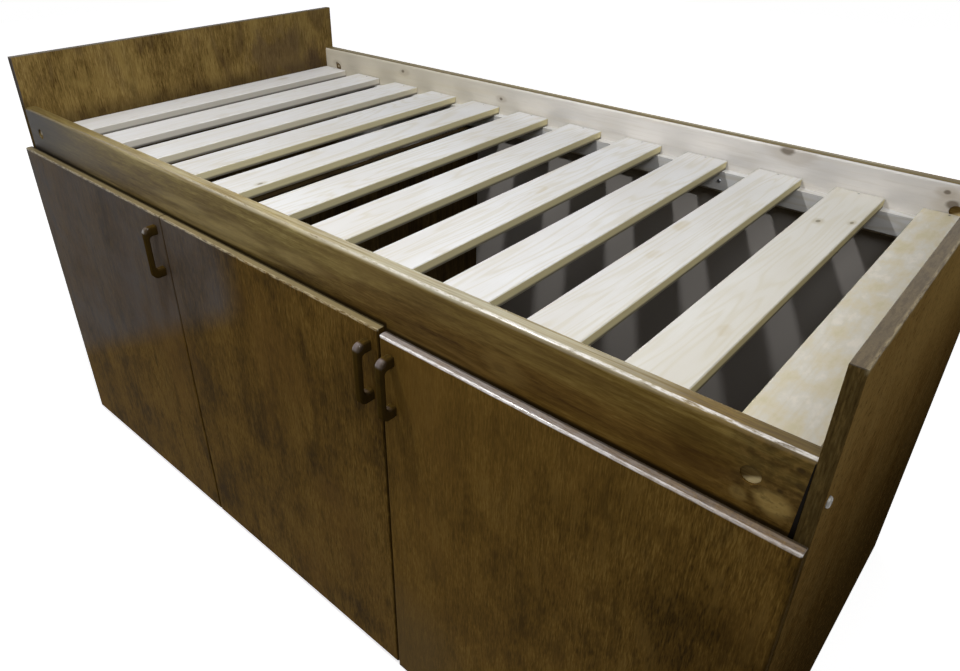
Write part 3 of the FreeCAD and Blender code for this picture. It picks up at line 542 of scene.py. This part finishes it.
# the third door is paler and greyer low on the left, and darker low towards the right
door_ply.tint(third * (1 - x.ramp(0.40, 0.56)) * (1 - z.ramp(0.14, 0.32)) * 0.40,
              from_screen(100, 84, 56))
door_ply.tint(third * z.ramp(0.58, 0.76) * (1 - x.ramp(0.72, 0.90)) * 0.24,
              from_screen(118, 90, 40))
door_ply.deepen(x.ramp(0.76, 0.93) * (1 - z.ramp(0.63, 0.72)), (0.62, 0.60, 0.55))
ledge = 1 - below.ramp(0.0004, 0.0010)
arris = (1 - below.ramp(0.0022, 0.0044)) * (1 - y.ramp(DOOR_FACE + 0.0024, DOOR_FACE + 0.0040))
flecks = door_ply.noise(door_ply.point(x * 60.0, y * 500.0, z * 500.0), 1.0, 3.0, 0.7)
# painted highlight: a bright line along the front of the first two doors' ledge; on the third door
# a painted grey reflection on the ledge and a white painted highlight along its front
door_ply.tint(ledge * (1 - third) * (0.5 + flecks * 0.5), from_screen(138, 126, 94))
door_ply.tint(arris * (1 - third) * flecks.ramp(0.40, 0.60) * 0.7, from_screen(184, 172, 140))
sheen = 1 - x.ramp(0.55, 0.95) * 0.60
door_ply.tint(ledge * third * sheen * (0.40 + flecks.ramp(0.35, 0.65) * 0.5),
              from_screen(158, 153, 152))
door_ply.tint(arris * third * sheen * (0.40 + flecks.ramp(0.35, 0.60) * 0.6),
              from_screen(240, 236, 234))
# painted shade at the back of the ledge, against the rail
door_ply.tint(ledge * y.ramp(DOOR_BACK - 0.0045, DOOR_BACK - 0.0020) * 0.85,
              from_screen(36, 28, 16))
door_ply.close(upright * 0.40 + 0.50, (ledge + arris) * (0.15 + third * 0.5))
door_ply.paint("door_1", "door_2", "door_3")

# Handles: cast bows painted glossy brown, each with two square feet and a flat grip whose
# corners are well rounded. They stand on the doors over the two screws.
FOOT_PITCH = 0.096
FOOT = 0.020
GRIP_WIDTH = 0.016
GRIP = 0.009
GRIP_CORNER = 0.0036
OUTER_BEND = 0.0125
INNER_BEND = 0.0065
STAND_OFF = 0.028
LOW_SCREW = 0.693
HANDLES = ((1, -0.348333, LOW_SCREW), (2, 0.297333, LOW_SCREW),
           (3, 0.348333, LOW_SCREW - THIRD_DOOR_DROP))


def start_fresh():
    """Leaves edit mode and selects nothing."""
    if bpy.context.object and bpy.context.object.mode != "OBJECT":
        bpy.ops.object.mode_set(mode="OBJECT")
    bpy.ops.object.select_all(action="DESELECT")


def apply_modifier(piece, kind, **settings):
    """Adds one modifier to a piece and applies it."""
    modifier = piece.modifiers.new("shape", kind)
    for key, setting in settings.items():
        setattr(modifier, key, setting)
    bpy.context.view_layer.objects.active = piece
    bpy.ops.object.modifier_apply(modifier=modifier.name)


def add_block(low, high):
    """Adds a box between two corners and hands it back, with its place in its mesh."""
    start_fresh()
    middle = [(a + b) / 2 for a, b in zip(low, high)]
    bpy.ops.mesh.primitive_cube_add(size=1, location=middle)
    block = bpy.context.object
    block.scale = [b - a for a, b in zip(low, high)]
    bpy.ops.object.transform_apply(location=True, rotation=True, scale=True)
    return block


def cut_away(piece, tool):
    """Takes the tool's space out of the piece and removes the tool."""
    apply_modifier(piece, "BOOLEAN", operation="DIFFERENCE", object=tool, solver="EXACT")
    bpy.data.objects.remove(tool, do_unlink=True)


def bevel_where(piece, wanted, width, segments):
    """Bevels the edges of a piece that a test of their two ends picks."""
    start_fresh()
    piece.select_set(True)
    bpy.context.view_layer.objects.active = piece
    bpy.ops.object.mode_set(mode="EDIT")
    bpy.ops.mesh.select_mode(type="EDGE")
    bpy.ops.mesh.select_all(action="DESELECT")
    bpy.ops.object.mode_set(mode="OBJECT")
    corners = piece.data.vertices
    for edge in piece.data.edges:
        edge.select = wanted(corners[edge.vertices[0]].co, corners[edge.vertices[1]].co)
    bpy.ops.object.mode_set(mode="EDIT")
    bpy.ops.mesh.bevel(offset=width, segments=segments, profile=0.5, affect="EDGES",
                       clamp_overlap=True)
    bpy.ops.object.mode_set(mode="OBJECT")


def finish_piece(piece, name, finish, body, node):
    """Smooths and paints a modelled piece, which rides on a body and stands for a CAD node."""
    start_fresh()
    piece.select_set(True)
    bpy.context.view_layer.objects.active = piece
    bpy.ops.object.transform_apply(location=True, rotation=True, scale=True)
    bpy.ops.object.mode_set(mode="EDIT")
    bpy.ops.mesh.select_all(action="SELECT")
    bpy.ops.mesh.remove_doubles(threshold=0.00001)
    bpy.ops.mesh.normals_make_consistent(inside=False)
    bpy.ops.object.mode_set(mode="OBJECT")
    bpy.ops.object.shade_smooth_by_angle(angle=math.radians(32))
    piece.name = name
    piece.data.name = name
    finish.paint(name)
    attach(piece, body)
    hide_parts(node)


handle_paint = Finish("handle_brown", Specular_IOR_Level=0.0, Coat_Roughness=0.16)
x, y, z = handle_paint.axes(handle_paint.place())
strokes = handle_paint.noise(handle_paint.point(x * 200.0, y * 200.0, z * 40.0), 1.0, 3.0, 0.6)
grime = handle_paint.noise(handle_paint.point(x * 60.0, y * 60.0, z * 60.0), 1.0, 3.0, 0.6)
brown = handle_paint.mix(strokes, from_screen(54, 40, 14), from_screen(78, 60, 24))
brown = handle_paint.mix(grime.ramp(0.5, 0.75) * 0.5, brown, from_screen(48, 36, 20))
# each grip carries a painted soft highlight down its left corner and painted shade down its right
# one
across = x - (HANDLES[0][1] + x.ramp(-0.001, 0.001) * (HANDLES[1][1] - HANDLES[0][1])
              + x.ramp(THIRD_DOOR - 0.001, THIRD_DOOR) * (HANDLES[2][1] - HANDLES[1][1]))
brown = handle_paint.mix((1 - across.ramp(-0.008, -0.002)) * 0.55, brown, from_screen(104, 86, 44))
brown = handle_paint.mix(across.ramp(0.002, 0.007) * 0.55, brown, from_screen(34, 25, 10))
handle_paint.send("Roughness", 0.26 + grime * 0.2)
# the paint is thick and glossy on the upper bend and on top of the lower foot, which carry a
# painted violet-white highlight
level = z + x.ramp(THIRD_DOOR - 0.0002, THIRD_DOOR) * THIRD_DOOR_DROP
high = LOW_SCREW + FOOT_PITCH + FOOT / 2
bend = handle_paint.spot(y, level, (DOOR_FACE - STAND_OFF + 0.0050, high - 0.0035), 0.011)
foot = handle_paint.spot(y, level, (DOOR_FACE - 0.012, LOW_SCREW + FOOT / 2), 0.006)
shine = (bend + foot * 0.6).held() * (1 - across.ramp(0.000, 0.0075) * 0.6)
painted_highlight = shine ** 2.0 * (0.06 + x.ramp(-0.1, 0.1) * 0.20)
brown = handle_paint.mix(painted_highlight, brown, from_screen(160, 150, 160))
handle_paint.send("Base Color", brown)
handle_paint.send("Coat Weight", shine * 0.7)
handle_paint.raise_by(strokes, 0.15, 0.0003)


def crosswise_at(depth):
    """Picks a handle's edges that run along X at a depth."""
    return lambda a, b: abs(a.y - depth) + abs(b.y - depth) < 1e-5 and abs(a.x - b.x) > 0.01


def beside(middle):
    """Picks the edges of a handle's two sides, but those that stand on the door."""
    def wanted(a, b):
        on_side = abs(a.x - b.x) < 1e-5 and abs(abs(a.x - middle) - GRIP_WIDTH / 2) < 1e-5
        return on_side and not (a.y > DOOR_FACE - 1e-5 and b.y > DOOR_FACE - 1e-5)
    return wanted


for number, middle, low_screw in HANDLES:
    low = low_screw - FOOT / 2
    high = low_screw + FOOT_PITCH + FOOT / 2
    bow = add_block((middle - GRIP_WIDTH / 2, DOOR_FACE - STAND_OFF, low),
                    (middle + GRIP_WIDTH / 2, DOOR_FACE, high))
    hollow = add_block((middle - GRIP_WIDTH, DOOR_FACE - STAND_OFF + GRIP, low + FOOT),
                       (middle + GRIP_WIDTH, DOOR_FACE + GRIP, high - FOOT))
    cut_away(bow, hollow)
    bevel_where(bow, crosswise_at(DOOR_FACE - STAND_OFF), OUTER_BEND, 8)
    bevel_where(bow, crosswise_at(DOOR_FACE - STAND_OFF + GRIP), INNER_BEND, 6)
    bevel_where(bow, beside(middle), GRIP_CORNER, 5)
    finish_piece(bow, "handle_bow_%d" % number, handle_paint, "door_%d" % number,
                 "handle_%d" % number)

# Hinges: concealed ones of pressed steel, plated with bright nickel. The cups are let into the
# doors, and arms screwed to plates on the uprights hold the cranked links.


def plated(name, dark, light, roughness):
    """A thin bright plating over steel, a little uneven and finger-marked."""
    metal = Finish(name, Metallic=1.0)
    place = metal.place()
    spots = metal.noise(place, 220.0, 3.0)
    smears = metal.noise(place, 40.0, 3.0, 0.6)
    metal.send("Base Color", metal.mix(spots, dark, light))
    metal.send("Roughness", roughness + spots * 0.12 + smears * 0.12)
    metal.raise_by(spots, 0.08, 0.0002)
    return metal


nickel = plated("nickel_plate", from_screen(176, 174, 170), from_screen(208, 206, 202), 0.14)


def link_copy(piece):
    """Copies an object with a mesh of its own."""
    copy = piece.copy()
    copy.data = piece.data.copy()
    copy.parent = None
    copy.matrix_world = piece.matrix_world
    bpy.context.scene.collection.objects.link(copy)
    return copy


def press(node, width, finish, body):
    """Stands in for a CAD piece with a copy whose sharp edges are rounded, as pressed steel's."""
    start_fresh()
    piece = link_copy(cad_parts[node])
    piece.select_set(True)
    bpy.context.view_layer.objects.active = piece
    bpy.ops.object.mode_set(mode="EDIT")
    bpy.ops.mesh.select_all(action="SELECT")
    bpy.ops.mesh.remove_doubles(threshold=0.00001)
    bpy.ops.mesh.dissolve_limited(angle_limit=math.radians(1))
    bpy.ops.object.mode_set(mode="OBJECT")
    apply_modifier(piece, "BEVEL", width=width, segments=2, limit_method="ANGLE",
                   angle_limit=math.radians(38))
    finish_piece(piece, node + "_pressed", finish, body, node)


for number in (1, 2, 3):
    door = "door_%d" % number
    for part, rounding, body in (("cups", 0.0003, door), ("links", 0.0004, door + "_links"),
                                 ("pins", 0.0003, "carcass"), ("arms", 0.0003, "carcass"),
                                 ("plates", 0.0004, "carcass")):
        press("hinge_%s_%d" % (part, number), rounding, nickel, body)

# Screws: zinc-plated steel with domed heads and a cross recess. They hold the handles, the
# hinges and the battens; all of one kind are cut alike and set in their places.
zinc = plated("zinc_plate", from_screen(158, 161, 168), from_screen(206, 209, 214), 0.24)


def add_rod(radius, low, high, sides):
    """Adds a round bar along Z between two heights."""
    start_fresh()
    bpy.ops.mesh.primitive_cylinder_add(vertices=sides, radius=radius, depth=high - low,
                                        location=(0, 0, (low + high) / 2))
    bar = bpy.context.object
    bpy.ops.object.transform_apply(location=True, rotation=True, scale=True)
    return bar


def join_pieces(pieces):
    """Joins pieces into the first one."""
    start_fresh()
    for piece in pieces:
        piece.select_set(True)
    bpy.context.view_layer.objects.active = pieces[0]
    bpy.ops.object.join()
    return pieces[0]


def set_in_places(piece, places, way):
    """Puts copies of a piece at points, its Z turned the given way, and joins them."""
    copies = []
    for point, direction in places:
        copy = link_copy(piece)
        copy.rotation_euler = Vector(direction).to_track_quat("Z", way).to_euler()
        copy.location = point
        copies.append(copy)
    bpy.data.objects.remove(piece, do_unlink=True)
    start_fresh()
    for copy in copies:
        copy.select_set(True)
    bpy.context.view_layer.objects.active = copies[0]
    bpy.ops.object.transform_apply(location=True, rotation=True, scale=True)
    return join_pieces(copies)


def rim_at(height):
    """Picks the edges that lie at a height."""
    return lambda a, b: abs(a.z - height) + abs(b.z - height) < 1e-6


def add_screw(head_radius, head_height, shank_radius, length):
    """Models one screw along Z: a pointed shank below a domed head with a cross recess."""
    head = add_rod(head_radius, 0, head_height, 28)
    bevel_where(head, rim_at(head_height), head_height * 0.8, 4)
    reach, half = head_radius * 0.58, head_radius * 0.12
    for across, along in ((reach, half), (half, reach)):
        cut_away(head, add_block((-across, -along, head_height * 0.4),
                                 (across, along, head_height * 2)))
    shank = add_rod(shank_radius * 0.92, -length, 0, 12)
    bevel_where(shank, rim_at(-length), shank_radius * 0.8, 1)
    return join_pieces([head, shank])


for number, middle, low_screw in HANDLES:
    screw = add_screw(head_radius=0.004, head_height=0.0022, shank_radius=0.002, length=0.0239)
    places = [((middle, DOOR_BACK, low_screw + step), (0, 1, 0)) for step in (0, FOOT_PITCH)]
    finish_piece(set_in_places(screw, places, "X"), "handle_screw_pair_%d" % number, zinc,
                 "door_%d" % number, "handle_screws_%d" % number)

HINGE_HEIGHTS = (0.112, 0.725)
LOWER_HEIGHTS = [height - THIRD_DOOR_DROP for height in HINGE_HEIGHTS]
HINGES = ((1, -0.935, -0.9475, 1, HINGE_HEIGHTS), (2, -0.28933, -0.31133, 1, HINGE_HEIGHTS),
          (3, 0.935, 0.9475, -1, LOWER_HEIGHTS))
CUP_SCREW_SPREAD = 0.0225
PLATE_SCREW_SPREAD = 0.016
FLANGE_FACE = -0.4918
PLATE_SCREW_LINE = -0.456
for number, cup_x, plate_x, inwards, heights in HINGES:
    screw = add_screw(head_radius=0.0034, head_height=0.0016, shank_radius=0.0018, length=0.012)
    places = [((cup_x, FLANGE_FACE, height + sign * CUP_SCREW_SPREAD), (0, 1, 0))
              for height in heights for sign in (-1, 1)]
    finish_piece(set_in_places(screw, places, "X"), "cup_screw_set_%d" % number, zinc,
                 "door_%d" % number, "cup_screws_%d" % number)
    screw = add_screw(head_radius=0.0042, head_height=0.0024, shank_radius=0.00225, length=0.013)
    places = [((plate_x, PLATE_SCREW_LINE, height + sign * PLATE_SCREW_SPREAD), (inwards, 0, 0))
              for height in heights for sign in (-1, 1)]
    finish_piece(set_in_places(screw, places, "Y"), "plate_screw_set_%d" % number, zinc,
                 "carcass", "plate_screws_%d" % number)

BATTEN_SCREWS = (-0.8835, -0.437, 0.0, 0.437, 0.8835)
BATTEN_SCREW_HEIGHT = 0.824
BATTEN_FACE = 0.438
screw = add_screw(head_radius=0.0042, head_height=0.0024, shank_radius=0.00225, length=0.038)
places = [((across, -side * BATTEN_FACE, BATTEN_SCREW_HEIGHT), (0, side, 0))
          for across in BATTEN_SCREWS for side in (1, -1)]
finish_piece(set_in_places(screw, places, "X"), "batten_screw_set", zinc, "carcass",
             "batten_screws")

# Bed bolts: plated, with low round heads and a hexagon socket, standing on the outer faces of
# the end panels. Their nuts bear on half-moon washers in the rails' round recesses.
BOLT_LINE = 0.475
BOLT_LENGTH = 0.0815
BOLT_RADIUS = 0.0039
HEAD_RADIUS = 0.007
HEAD_HEIGHT = 0.0035
SOCKET_RADIUS = 0.0029
SOCKET_BOTTOM = 0.0014
dull_zinc = plated("dull_zinc", from_screen(98, 96, 92), from_screen(132, 130, 126), 0.40)
head = add_rod(HEAD_RADIUS, 0, HEAD_HEIGHT, 40)
bevel_where(head, rim_at(HEAD_HEIGHT), 0.0027, 5)
cut_away(head, add_rod(SOCKET_RADIUS, SOCKET_BOTTOM, 0.006, 6))
shank = add_rod(BOLT_RADIUS, -BOLT_LENGTH, 0, 20)
bevel_where(shank, rim_at(-BOLT_LENGTH), 0.001, 2)
places = [((side * PANEL_OUTSIDE, line, BOLT_HEIGHT), (side, 0, 0))
          for side in (-1, 1) for line in (-BOLT_LINE, BOLT_LINE)]
finish_piece(set_in_places(join_pieces([head, shank]), places, "Y"), "bed_bolt_set", dull_zinc,
             "carcass", "bed_bolts")
press("bed_washers", 0.0003, zinc, "carcass")
press("bed_nuts", 0.0004, zinc, "carcass")

# Nails: plain steel wire nails with small flat heads, two to a slat, driven flush through the
# slats' ends into the battens.
NAIL_LINE = 0.449
NAIL_LENGTH = 0.038
NAIL_RADIUS = 0.00115
NAIL_HEAD = 0.0026
NAIL_HEAD_HEIGHT = 0.0006
nail_steel = plated("nail_steel", from_screen(110, 110, 110), from_screen(150, 150, 150), 0.36)
SLAT_MIDDLES = (-0.9025, -0.7445, -0.5805, -0.4255, -0.2655, -0.1015, 0.0615, 0.2285, 0.3915,
                0.558, 0.722, 0.8855)
head = add_rod(NAIL_HEAD, -NAIL_HEAD_HEIGHT, 0, 16)
bevel_where(head, rim_at(0), 0.0003, 2)
shank = add_rod(NAIL_RADIUS, -NAIL_LENGTH, -0.0005, 8)
bevel_where(shank, rim_at(-NAIL_LENGTH), 0.0009, 1)
places = [((middle, line, SLAT_TOP), (0, 0, 1))
          for middle in SLAT_MIDDLES for line in (-NAIL_LINE, NAIL_LINE)]
finish_piece(set_in_places(join_pieces([head, shank]), places, "X"), "slat_nail_set", nail_steel,
             "carcass", "slat_nails")

# Studio: a pale floor, a lamp hung above the front of the bed, soft light from the ceiling
# and the sides, and the camera.
FLOOR_SIZE = 16
FLOOR_GAP = 0.001
start_fresh()
bpy.ops.mesh.primitive_plane_add(size=FLOOR_SIZE, location=(0, 0, -FLOOR_GAP))
studio_floor = bpy.context.object
studio_floor.name = "studio_floor"
floor_paint = Finish("studio_floor", Roughness=0.9, Specular_IOR_Level=0.1, Emission_Strength=1.0)
floor_paint.shader.inputs["Base Color"].default_value = (0.8, 0.8, 0.8, 1)


def seen_by(surface):
    """Gives 1 to rays that look at a surface, straight, in a reflection or through glass."""
    looks = [surface.node("ShaderNodeLightPath", {}, out=kind)
             for kind in ("Is Camera Ray", "Is Glossy Ray", "Is Transmission Ray")]
    return (looks[0] + looks[1] + looks[2]).held()


x, y, z = floor_paint.axes(floor_paint.place())
far = ((x * x + y * y) ** 0.5).ramp(1.4, 3.6)
glow = floor_paint.mix(far, (0.76, 0.76, 0.76), (1, 1, 1))
floor_paint.send("Emission Color", floor_paint.mix(seen_by(floor_paint), (0, 0, 0), glow))
floor_paint.paint("studio_floor")


def hang_lamp(name, place, energy, size, aim=None, colour=(1, 1, 1)):
    """Hangs a lamp: a small bulb, or a soft square panel turned towards the aim."""
    light = bpy.data.lights.new(name, "AREA" if aim else "POINT")
    light.energy = energy
    light.color = colour
    lamp = bpy.data.objects.new(name, light)
    lamp.location = place
    if aim:
        light.size = size
        way = [b - a for a, b in zip(place, aim)]
        flat = math.hypot(way[0], way[1])
        lamp.rotation_euler = (math.atan2(flat, -way[2]), 0, math.atan2(-way[0], way[1]))
    else:
        light.shadow_soft_size = size
    bpy.context.scene.collection.objects.link(lamp)


hang_lamp("bulb", (0, -0.73, 1.95), 36, 0.035)
hang_lamp("ceiling", (0, 0, 2.8), 27, 3.0, (0, 0, 0))
hang_lamp("doorway", (-2.3, -1.4, 0.7), 9, 1.4, (0, -0.5, 0.6), (0.94, 0.97, 1.0))
hang_lamp("window", (2.2, -0.4, 2.7), 15, 1.4, (0.3, 0, 0.6))
hang_lamp("room", (1.4, -1.3, 2.3), 6, 0.5, (0.9, -0.3, 0.6))


class Surroundings(Finish):
    """The studio's walls: white where a ray looks at them, and dim where they only light."""

    def __init__(self, name):
        world = bpy.data.worlds.new(name)
        world.use_nodes = True
        bpy.context.scene.world = world
        self.tree = world.node_tree
        self.shader = self.tree.nodes["Background"]
        self.shader.inputs["Color"].default_value = (1, 1, 1, 1)


WALL_LIGHT = 0.07
walls = Surroundings("studio")
walls.send("Strength", WALL_LIGHT + seen_by(walls) * (1 - WALL_LIGHT))

camera = bpy.data.cameras.new("camera")
camera.lens = 28.15
camera.shift_x = 0.0238
camera.shift_y = -0.0376
camera_object = bpy.data.objects.new("camera", camera)
camera_object.location = (1.0576, -1.1546, 1.4409)
camera_object.rotation_euler = [math.radians(turn) for turn in (59.960, -0.036, 41.578)]
bpy.context.scene.collection.objects.link(camera_object)
bpy.context.scene.camera = camera_object
bpy.context.scene.view_settings.view_transform = "Standard"
